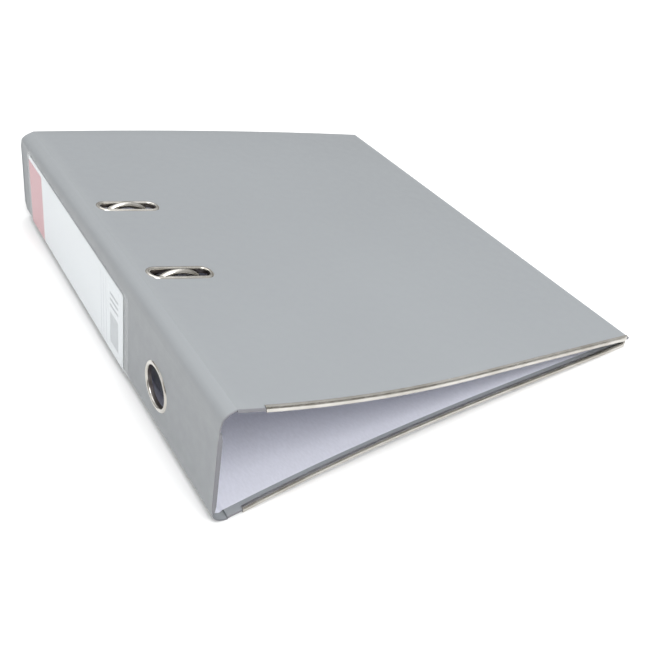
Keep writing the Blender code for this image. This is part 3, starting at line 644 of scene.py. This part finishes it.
def with_groove(surface, sides):
    """The same fold, with its depth growing to the panels' thickness at both sides."""
    def grooved(t, y, depth):
        inwards = min(1.0, min(t, 1.0 - t) / GROOVE_SIDE)
        flat = inwards * inwards * (3.0 - 2.0 * inwards)
        side = sides[0] if t < 0.5 else sides[1]
        return surface(t, y, depth + (1.0 - flat) * (side - FOLD_FILM))
    return grooved


def make_fold(word, surface, sides):
    """A fold's film and lining, modelled where it rests."""
    y = (COVER_NEAR, FAR + 0.2)
    square = (True, True)
    skin_mesh = panel_mesh(surface, (0.0, 1.0), y, FOLD_CELLS, (0.0, FOLD_FILM), 0.0, 0.0, square)
    skin = settle(skin_mesh, f"{word}_fold_film", film, None, (f"{word}_fold",))
    paper_y = (y[0] + LINING_NEAR, y[1] - LINING_MARGIN)
    depths = (FOLD_FILM + LINING_DEPTHS[0], FOLD_FILM + LINING_DEPTHS[1])
    paper_mesh = panel_mesh(with_groove(surface, sides), (0.0, 1.0), paper_y, FOLD_CELLS, depths,
                            0.0, 0.0, square)
    paper = settle(paper_mesh, f"{word}_fold_lining", lining_paper, None)
    for piece in (skin, paper):
        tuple(surface(0.0, 0.0))
        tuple(surface(1.0, 0.0))
        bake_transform(piece)


make_fold("lower", lower_fold_surface, (PANEL, SPINE_PANEL))
make_fold("upper", upper_fold_surface, (SPINE_PANEL, PANEL))

# %% [markdown]
# ## Rolled metal edges
#
# A strip of nickel plated steel is folded over the near edge of each cover, so that the file can
# stand on a shelf without wearing. Its section is a narrow U with rounded bends. Copies of the
# section stand at stations along the cover, a skin joins them, and the last few draw back round
# the corner at the fore-edge.

# %% Metal edges
def bridged(mesh, loops, closed=False):
    """Skin over a row of closed loops of points, and cap its ends or join them."""
    rings = [[mesh.verts.new(point) for point in loop] for loop in loops]
    following = rings[1:] + rings[:1] if closed else rings[1:]
    for first, second in zip(rings, following):
        for i in range(len(first)):
            mesh.faces.new((first[i - 1], first[i], second[i], second[i - 1]))
    if not closed:
        mesh.faces.new(rings[0])
        mesh.faces.new(rings[-1])


EDGE_REACH = 2.2                         # how far the metal comes over the cover
EDGE_STAND = 0.75                        # how far it stands off the film
EDGE_WALL = 0.3
EDGE_STEPS = 56
EDGE_CORNER_STEPS = 6


def edge_section(reach, height, wall):
    """A folded strip open to +y, as (y, z) points: y from outside, z down from its top.

    Its upper outside edge is flattened to a slope, so that it catches a line of shade."""
    outside = ((reach, 0.0), (0.85, 0.0), (0.62, -0.08), (0.08, -0.95), (0.0, -1.15),
               (0.0, -height + 0.6), (0.18, -height + 0.18), (0.6, -height), (reach, -height))
    inside = ((reach, -height + wall), (0.7, -height + wall), (wall + 0.1, -height + wall + 0.1),
              (wall, -height + 0.7), (wall, -1.2), (0.4, -1.0), (0.85, -wall), (reach, -wall))
    return outside + inside


def make_edge(word, start, surface, body):
    """The metal edge of one cover; surface(x, y, depth) is the cover's upper face."""
    height = PANEL + 2 * EDGE_STAND
    section = edge_section(EDGE_REACH, height, EDGE_WALL)
    deepest = EDGE_REACH - 0.4
    last = math.sqrt(CORNER ** 2 - (CORNER - deepest) ** 2)
    straight = FORE - CORNER - start
    stations = [start + straight * i / EDGE_STEPS for i in range(EDGE_STEPS + 1)]
    for i in range(1, EDGE_CORNER_STEPS + 1):
        stations.append(FORE - CORNER + last * math.sin(math.pi / 2 * i / EDGE_CORNER_STEPS))
    mesh = bmesh.new()
    loops = []
    for x in stations:
        past = max(0.0, x - (FORE - CORNER))
        pull = CORNER - math.sqrt(CORNER ** 2 - past ** 2)
        loop = []
        for y, z in section:
            across = max(y, min(pull, deepest)) if y < EDGE_REACH else y
            loop.append(surface(x, NEAR + across, -EDGE_STAND - z))
        loops.append(loop)
    bridged(mesh, loops)
    settle(mesh, f"{word}_metal_edge", nickel, body, (f"{word}_edge_protector",),
           sharp=28.0)


make_edge("front", 29.0, front_surface, "front_cover")
make_edge("back", 16.0, lambda x, y, depth: back_surface(x, y, PANEL - depth), "root")

# %% [markdown]
# ## Slot rims and finger ring
#
# The arches look through two oval slots, each lined with a pressed metal rim. A rim is one small
# profile carried round the oval and draped on the cover. The finger ring is the same idea, spun
# round its own axis: a domed lip outside and a short collar down through the board.

# %% Rims
# distance out from the slot's edge, and depth below the cover's face
RIM_PROFILE = ((0.0, 3.1), (0.0, 0.5), (0.15, -0.25), (0.6, -0.6), (1.2, -0.72), (1.9, -0.55),
               (2.35, -0.2), (2.5, 0.02), (2.2, 0.02), (0.9, 0.02), (0.55, 0.3), (0.4, 0.8), (0.4, 3.1))
SLOT_RADIUS = 4.0


def make_rim(word, middle_y):
    mesh = bmesh.new()
    loops = [[front_surface(SLOT_X + x, middle_y + y, depth) for x, y in oval(SLOT_RADIUS + out)]
             for out, depth in RIM_PROFILE]
    bridged(mesh, loops, closed=True)
    rim = settle(mesh, f"slot_rim_{word}_pressed", nickel, "front_cover",
                 (f"slot_rim_{word}",), sharp=50.0)

    def below_cover(point):
        x = (point.x - SPINE_X) / MM
        return point.z < front_surface(x, point.y / MM, 0.6).z

    # faces below the cover take the darker nickel, as painted shade down inside the slot
    shade_inside(rim, nickel_painted_shade, below_cover)


for word, y in zip(("near", "far"), SLOT_Y):
    make_rim(word, y)

# distance from the ring's middle, and depth along the hole
RING_PROFILE = ((11.8, 2.3), (11.8, 0.3), (11.95, -0.3), (12.4, -0.7), (13.0, -0.8), (13.7, -0.6),
                (14.1, -0.3), (14.3, 0.0), (13.3, 0.0), (12.3, 0.3), (12.2, 0.9), (12.2, 2.3))


def spin_profile(profile, place, steps):
    """Spin (radius, height) pairs round the z axis of a place."""
    mesh = bmesh.new()
    points = [mesh.verts.new((radius * MM, 0.0, height * MM)) for radius, height in profile]
    edges = [mesh.edges.new(pair) for pair in zip(points, points[1:] + points[:1])]
    bmesh.ops.spin(mesh, geom=points + edges, cent=(0, 0, 0), axis=(0, 0, 1), angle=2 * math.pi,
                   steps=steps, use_merge=True)
    bmesh.ops.remove_doubles(mesh, verts=mesh.verts, dist=0.0001 * MM)
    bmesh.ops.transform(mesh, matrix=place, verts=mesh.verts)
    return mesh


def beyond_film(point):
    """Whether a point lies inwards of the spine's outer face."""
    return (ring_frame().inverted() @ point).z > 0.25 * MM


ring = settle(spin_profile(RING_PROFILE, ring_frame(), 96), "finger_ring_domed", nickel, "spine",
              ("finger_ring",), sharp=50.0)
# faces inwards of the spine's film take the darker nickel, as painted shade down inside the finger hole
shade_inside(ring, nickel_painted_shade, beyond_film)
WASHER_PROFILE = ((12.4, 1.55), (14.0, 1.55), (14.2, 1.75), (14.0, 1.95), (12.4, 1.95))
settle(spin_profile(WASHER_PROFILE, ring_frame(), 96), "finger_ring_washer_pressed", nickel, "spine",
       ("finger_ring_washer",), sharp=50.0)

# %% [markdown]
# ## Lever arch mechanism
#
# The arches are bent from one length of wire: two tall arches joined by a bar along the hinge
# axle. A curve follows the route, and every bend is rounded before the wire is given its
# thickness. Posts, rivets and pins are turned profiles, spun round their axes.

# %% Arch wire
WIRE = 1.9
ARCH_RADIUS = 17.4
LEG_X = 16.6
POST_X = 51.4
ARCH_MIDDLE = 34.0
ARCH_CENTRE = 46.2
AXLE_Z = 9.6


def rounded_route(points, radius, steps=8):
    """A route with every corner rounded."""
    route = [points[0]]
    for before, corner, after in zip(points, points[1:], points[2:]):
        back = (before - corner).normalized()
        ahead = (after - corner).normalized()
        spread_angle = back.angle(ahead)
        if spread_angle > 2.9:
            route.append(corner)
            continue
        reach = radius / math.tan(spread_angle / 2)
        reach = min(reach, (before - corner).length * 0.49, (after - corner).length * 0.49)
        first = corner + back * reach
        last = corner + ahead * reach
        for i in range(steps + 1):
            t = i / steps
            route.append(first * (1 - t) ** 2 + corner * 2 * t * (1 - t) + last * t ** 2)
    route.append(points[-1])
    return route


def swept(points, radius, name):
    """A round rod along a route, as a bmesh."""
    curve = bpy.data.curves.new(name, "CURVE")
    curve.dimensions = "3D"
    curve.bevel_depth = radius
    curve.bevel_resolution = 6
    curve.use_fill_caps = True
    spline = curve.splines.new("POLY")
    spline.points.add(len(points) - 1)
    for knot, point in zip(spline.points, points):
        knot.co = (*point, 1.0)
    holder = bpy.data.objects.new(name, curve)
    bpy.context.scene.collection.objects.link(holder)
    bpy.context.view_layer.update()
    seen = holder.evaluated_get(bpy.context.evaluated_depsgraph_get())
    mesh = bmesh.new()
    mesh.from_mesh(seen.to_mesh())
    bpy.data.objects.remove(holder, do_unlink=True)
    bpy.data.curves.remove(curve)
    bmesh.ops.remove_doubles(mesh, verts=mesh.verts, dist=0.001 * MM)
    return mesh


def arch_route():
    """Near arch, axle, crank, axle, far arch, with square corners."""
    top = [(ARCH_MIDDLE + ARCH_RADIUS * math.cos(math.pi * i / 32), -40.0,
            ARCH_CENTRE + ARCH_RADIUS * math.sin(math.pi * i / 32)) for i in range(33)]
    crank = [(LEG_X, -5.0, AXLE_Z), (29.0, -5.0, AXLE_Z), (29.0, 33.0, AXLE_Z), (LEG_X, 33.0, AXLE_Z)]
    bottom = [(LEG_X, -40.0, AXLE_Z)] + crank + [(LEG_X, 40.0, AXLE_Z)]
    back = [(x, -y, z) for x, y, z in reversed(top)]
    return [at(*point) for point in top + bottom + back]


settle(swept(rounded_route(arch_route(), 3.0 * MM), WIRE * MM, "wire"), "arch_wire_bent", nickel,
       "arches", ("arch_wire",), sharp=50.0)

# %% Turned pieces
UPRIGHT = Matrix.Identity(4)
ALONG_X = Matrix.Rotation(math.pi / 2, 4, "Y")
BASE_Z = 2.7
DECK = 4.0


def softened(profile, radius, steps=3):
    """Round the corners of a (radius, height) profile that lie off the axis."""
    points = [Vector((r, h, 0.0)) for r, h in profile]
    return [(p.x, p.y) for p in rounded_route(points, radius, steps)]


def turned_piece(name, profile, place, finish, body, steps=40):
    mesh = bmesh.new()
    points = [mesh.verts.new((radius * MM, 0.0, height * MM)) for radius, height in profile]
    edges = [mesh.edges.new(pair) for pair in zip(points, points[1:])]
    if profile[0] != profile[-1] and profile[0][0] > 0.0:
        edges.append(mesh.edges.new((points[-1], points[0])))
    bmesh.ops.spin(mesh, geom=points + edges, cent=(0, 0, 0), axis=(0, 0, 1), angle=2 * math.pi,
                   steps=steps, use_merge=True)
    bmesh.ops.remove_doubles(mesh, verts=mesh.verts, dist=0.001 * MM)
    bmesh.ops.transform(mesh, matrix=place, verts=mesh.verts)
    return settle(mesh, f"{name}_turned", finish, body, (name,))


POST = softened([(0.0, DECK), (4.2, DECK), (4.2, DECK + 1.2), (3.0, DECK + 1.8), (2.1, DECK + 1.9),
                 (2.1, ARCH_CENTRE - 2.6), (1.1, ARCH_CENTRE - 0.3), (0.0, ARCH_CENTRE - 0.3)], 0.4)
RIVET = softened([(0.0, 0.0), (3.9, 0.0), (3.9, 0.2), (1.5, 0.2), (1.5, DECK), (3.4, DECK),
                  (2.9, DECK + 0.7), (1.6, DECK + 1.1), (0.0, DECK + 1.2)], 0.2)
for word, y in (("near", -40.0), ("far", 40.0)):
    turned_piece(f"{word}_post", POST, Matrix.Translation(at(POST_X, y, 0.0)), nickel, "root")
for word, y in (("near", -70.0), ("far", 70.0)):
    for side, x in (("spine", 17.5), ("inner", 55.5)):
        turned_piece(f"rivet_{word}_{side}", RIVET, Matrix.Translation(at(x, y, 0.0)), nickel, "root")

# %% [markdown]
# The lever turns on a headed pin in its bracket, and pushes the crank down with a plastic roller.
# Their profiles run along x, so they are spun upright and then laid over.

# %% Pins and roller
LEVER_X = (24.3, 33.7)
PIVOT = (20.0, 24.0)
ROLLER = (15.5, 16.206)


def lying(axis):
    """The place of a turned piece that lies along x, on a (y, z) axis."""
    return Matrix.Translation(at(0.0, *axis)) @ ALONG_X


PIN = softened([(0.0, 21.1), (2.8, 21.1), (3.2, 21.5), (3.2, 22.3), (2.0, 22.3), (2.0, 35.7),
                (3.2, 35.7), (3.2, 36.5), (2.8, 36.9), (0.0, 36.9)], 0.25)
turned_piece("lever_pin", PIN, lying(PIVOT), nickel, "root")
SMALL_PIN = softened([(0.0, 24.1), (1.4, 24.1), (1.4, 33.9), (0.0, 33.9)], 0.3)
turned_piece("roller_pin", SMALL_PIN, lying(ROLLER), zinc, "lever", 28)
WHEEL = softened([(1.7, 25.7), (4.0, 25.7), (4.4, 26.1), (4.4, 31.9), (4.0, 32.3), (1.7, 32.3)], 0.3)
turned_piece("lever_roller", WHEEL, lying(ROLLER), black_plastic, "roller", 48)

# %% [markdown]
# ## Pressed sheet pieces
#
# The base plate, bracket, lever and compressor are pressed from sheet. Each is cut from a simple
# outline, its holes are cut through, and a small bevel modifier then breaks every sharp edge.

# %% Helpers for sheet pieces
def outline_mesh(outline, plane, span, radius=0.0):
    """An outline with rounded corners, carried from one side of a span to the other."""
    mesh = bmesh.new()
    put = {"yz": lambda a, b: at(span[0], a, b), "xz": lambda a, b: at(a, span[0], b),
           "xy": lambda a, b: at(a, b, span[0])}[plane]
    axis = {"yz": (1, 0, 0), "xz": (0, 1, 0), "xy": (0, 0, 1)}[plane]
    corners = [mesh.verts.new(put(a, b)) for a, b in outline]
    mesh.faces.new(corners)
    if radius:
        bmesh.ops.bevel(mesh, geom=corners, offset=radius * MM, offset_type="OFFSET", segments=4,
                        profile=0.5, affect="VERTICES", material=-1, clamp_overlap=True)
    moved = bmesh.ops.extrude_face_region(mesh, geom=mesh.faces[:])["geom"]
    second = [item for item in moved if isinstance(item, bmesh.types.BMVert)]
    bmesh.ops.translate(mesh, verts=second, vec=Vector(axis) * (span[1] - span[0]) * MM)
    bmesh.ops.recalc_face_normals(mesh, faces=mesh.faces)
    return mesh


def box_outline(a, b):
    return ((a[0], b[0]), (a[1], b[0]), (a[1], b[1]), (a[0], b[1]))


def tool(mesh):
    return settle(mesh, "tool", None, None)


def hole_tool(centre, axis, radius, depth):
    """A round bar through a point of the file, to cut a hole."""
    turn = {"x": ALONG_X, "y": Matrix.Rotation(math.pi / 2, 4, "X"), "z": UPRIGHT}[axis]
    mesh = bmesh.new()
    bmesh.ops.create_cone(mesh, cap_ends=True, segments=40, radius1=radius * MM, radius2=radius * MM,
                          depth=depth * MM, matrix=Matrix.Translation(at(*centre)) @ turn)
    return tool(mesh)


def joined(piece, extras):
    """Join more shapes into a piece, and throw them away afterwards."""
    for extra in extras:
        change = piece.modifiers.new("more", "BOOLEAN")
        change.operation = "UNION"
        change.solver = "EXACT"
        change.object = extra
    bake(piece)
    for extra in extras:
        bpy.data.objects.remove(extra, do_unlink=True)


def break_edges(piece, width, segments=2):
    edge = piece.modifiers.new("edges", "BEVEL")
    edge.width = width * MM
    edge.segments = segments
    edge.limit_method = "ANGLE"
    edge.angle_limit = math.radians(38.0)
    edge.use_clamp_overlap = True
    edge.harden_normals = False
    bake(piece)
    piece.data.shade_smooth()
    piece.data.set_sharp_from_angle(angle=math.radians(40.0))


# %% Base plate
LUG_Y = (-31.0, -9.0, 34.6)
LUG_RADIUS = 4.0
LUG_FOOT = BASE_Z + 0.5
PLATE_X = (12.6, 61.0)
PLATE_Y = (-76.0, 76.0)


def make_base_plate():
    sheet = outline_mesh(box_outline(PLATE_X, PLATE_Y), "xy", (BASE_Z, BASE_Z + 1.0), 5.0)
    plate = settle(sheet, "base_plate_pressed", zinc, "root", ("base_plate",))
    angles = [math.pi * i / 16 for i in range(17)]
    head = [(LEG_X + LUG_RADIUS * math.cos(a), AXLE_Z + LUG_RADIUS * math.sin(a)) for a in angles]
    side = head + [(LEG_X - LUG_RADIUS, LUG_FOOT), (LEG_X + LUG_RADIUS, LUG_FOOT)]
    lugs = [tool(outline_mesh(side, "xz", (y - 0.6, y + 0.6))) for y in LUG_Y]
    joined(plate, lugs)
    holes = [hole_tool((LEG_X, 0.0, AXLE_Z), "y", 2.2, 100.0)]
    holes += [hole_tool((x, y, BASE_Z), "z", 1.8, 12.0) for x in (17.5, 55.5) for y in (-70.0, 70.0)]
    slots = [tool(outline_mesh(box_outline((30.0, 45.0), (y - 7.0, y + 7.0)), "xy", (0.0, 10.0), 5.0))
             for y in (-57.0, 57.0)]
    cut(plate, holes + slots)
    break_edges(plate, 0.22)


make_base_plate()

# %% Bracket and lever
LEVER_TOP = ((24.6, 24.5), (23.0, 27.6), (19.0, 28.8), (-19.0, 26.0), (-27.0, 22.5), (-35.0, 21.0))
LEVER_BELOW = ((-35.0, 19.6), (-26.0, 19.0), (-18.0, 20.0), (8.5, 19.0), (12.3, 15.2), (13.9, 13.3),
               (17.1, 13.3), (24.2, 21.6))


def make_bracket():
    side = ((12.5, DECK), (26.0, DECK), (26.0, 17.0), (24.25, 26.5), (22.25, 28.5), (18.25, 28.5),
            (16.25, 26.5), (12.5, 17.0))
    bracket = settle(outline_mesh(side, "yz", (22.6, 35.4)), "lever_bracket_folded", zinc, "root",
                     ("lever_bracket",))
    room = tool(outline_mesh(box_outline((0.0, 40.0), (DECK + 1.0, 40.0)), "yz", (23.8, 34.2)))
    cut(bracket, [room, hole_tool((29.0, *PIVOT), "x", 2.3, 30.0)])
    break_edges(bracket, 0.3)


def make_lever():
    outline = LEVER_TOP + LEVER_BELOW
    lever = settle(outline_mesh(outline, "yz", LEVER_X, 0.5), "lever_pressed", nickel, "lever",
                   ("lever",))
    inside = [(y, z - 1.0) for y, z in LEVER_TOP[1:-1]]
    room = [(32.0, inside[0][1])] + inside + [(-27.0, 5.0), (32.0, 5.0)]
    tools = [tool(outline_mesh(room, "yz", (LEVER_X[0] + 1.0, LEVER_X[1] - 1.0)))]
    tools.append(hole_tool((29.0, *PIVOT), "x", 2.3, 30.0))
    tools.append(hole_tool((29.0, *ROLLER), "x", 1.7, 30.0))
    cut(lever, tools)
    break_edges(lever, 0.3)


make_bracket()
make_lever()

# %% Compressor
def make_compressor():
    bar = settle(outline_mesh(box_outline((43.6, 59.2), (-59.0, 59.0)), "xy", (5.9, 7.1), 6.0),
                 "compressor_bar_moulded", black_plastic, "compressor",
                 ("compressor_bar",))
    cut(bar, [hole_tool((POST_X, y, 6.0), "z", 2.6, 12.0) for y in SLOT_Y])
    break_edges(bar, 0.35)
    for word, y in zip(("near", "far"), SLOT_Y):
        side = ((46.9, 7.4), (58.4, 7.4), (58.4, 12.4), (57.0, 12.4), (57.0, 8.2), (46.9, 8.2))
        clip = settle(outline_mesh(side, "xz", (y - 4.0, y + 4.0)), f"compressor_clip_{word}_sprung",
                      zinc, "compressor", (f"compressor_clip_{word}",))
        cut(clip, [hole_tool((POST_X, y, 8.0), "z", 2.6, 12.0)])
        break_edges(clip, 0.25)


make_compressor()

# %% [markdown]
# ## Label and pocket
#
# The card is a thin sheet bent round the foot of the spine. The pocket lies over it and is welded
# to the spine along three sides, so its face drops to the film there; the far side stays open.

# %% Label and pocket
CARD_UP = (-2.1, 49.4)
POCKET_UP = (-4.0, 51.2)
POCKET_Y = (-47.3, 142.0)


def pocket_surface(up, y, depth):
    """The pocket's face: held down where it is welded, standing off over the card."""
    edge = min(up - POCKET_UP[0], POCKET_UP[1] - up, y - POCKET_Y[0])
    rise = min(1.0, max(0.0, (edge - 0.6) / 1.4))
    lift = 0.05 + 0.8 * rise * rise * (3.0 - 2.0 * rise)
    return spine_surface(up, y, depth - lift)


settle(panel_mesh(spine_surface, CARD_UP, LABEL_Y, (26, 20), (-0.35, -0.62), 0.0, 0.0, (True, True)),
       "label_card_printed", label_print, "label", ("label_card",))
settle(panel_mesh(pocket_surface, POCKET_UP, POCKET_Y, (78, 120), (0.0, -0.18), 0.0, 0.0, (True, True)),
       "label_pocket_clear", clear_film, "spine", ("label_pocket",))

# %% [markdown]
# ## Pieces kept from the frame
#
# The two backing plates round the slots are plain pressed rings, hidden inside the case. They
# keep their frame geometry and take the darker nickel, painted shade for the inside of the case.

# %% Kept pieces
# the backing plates take the darker nickel, as painted shade inside the case
for name in ("slot_backing_near", "slot_backing_far"):
    data = bpy.data.objects[name].data
    data.materials.clear()
    data.materials.append(nickel_painted_shade)

# %% [markdown]
# ## Floor, light and camera
#
# A pale floor and two broad lights, above and in front, suit a satin object: the cover reads as
# one even grey, and the rims pick up a clean highlight. A weak light at the left lifts the spine.
# The world is a gradient, darker near the horizon, so the bright metal has something to reflect.

# %% Floor
def make_floor():
    material, tree, shader, place = new_finish("studio_floor", (0.93, 0.93, 0.93), 0.7)
    cloud = noise(tree, place, 1.5, 2.0)
    tree.links.new(colours(tree, cloud, (0.92, 0.92, 0.92), (0.94, 0.94, 0.94)),
                   shader.inputs["Base Color"])
    mesh = bmesh.new()
    bmesh.ops.create_grid(mesh, x_segments=1, y_segments=1, size=6.0)
    floor = settle(mesh, "studio_floor", material, None)


make_floor()


# %% Light
def make_world():
    world = bpy.data.worlds.new("studio")
    bpy.context.scene.world = world
    world.use_nodes = True
    tree = world.node_tree
    direction = tree.nodes.new("ShaderNodeTexCoord").outputs["Generated"]
    parts = tree.nodes.new("ShaderNodeSeparateXYZ")
    tree.links.new(direction, parts.inputs["Vector"])
    sky = colours(tree, parts.outputs["Z"], (0.22, 0.20, 0.17), (1.0, 1.0, 1.0), 0.06, 0.42)
    background = tree.nodes["Background"]
    tree.links.new(sky, background.inputs["Color"])
    background.inputs["Strength"].default_value = 0.75


def add_light(name, place, target, size, power):
    light = bpy.data.lights.new(name, "AREA")
    light.shape = "SQUARE"
    light.size = size
    light.energy = power
    lamp = bpy.data.objects.new(name, light)
    lamp.location = place
    lamp.rotation_euler = (Vector(target) - Vector(place)).to_track_quat("-Z", "Y").to_euler()
    bpy.context.scene.collection.objects.link(lamp)


make_world()
add_light("overhead", (0.2, 0.2, 1.6), (0.0, 0.0, 0.0), 1.6, 13.0)
add_light("front", (0.0, -1.0, 1.25), (-0.05, -0.1, 0.03), 0.8, 15.0)
add_light("left", (-1.3, 0.1, 0.6), (-0.14, 0.0, 0.03), 0.8, 1.2)
bpy.context.scene.view_settings.view_transform = "Standard"

# %% Camera
CAMERA_PLACE = Vector((-0.2368, -0.3897, 0.3258))
CAMERA_RIGHT = Vector((0.85497, -0.51649, 0.04763))
CAMERA_UP = Vector((0.29296, 0.55664, 0.77738))
CAMERA_LENS = 45.28                      # on a sensor 36 mm wide


def make_camera():
    lens = bpy.data.cameras.new("view")
    lens.sensor_width = 36.0
    lens.lens = CAMERA_LENS
    lens.clip_start = 0.01
    camera = bpy.data.objects.new("view", lens)
    backwards = CAMERA_RIGHT.cross(CAMERA_UP).normalized()
    turn = Matrix((CAMERA_RIGHT, CAMERA_UP, backwards)).transposed().to_4x4()
    camera.matrix_world = Matrix.Translation(CAMERA_PLACE) @ turn
    bpy.context.scene.collection.objects.link(camera)
    bpy.context.scene.camera = camera


make_camera()
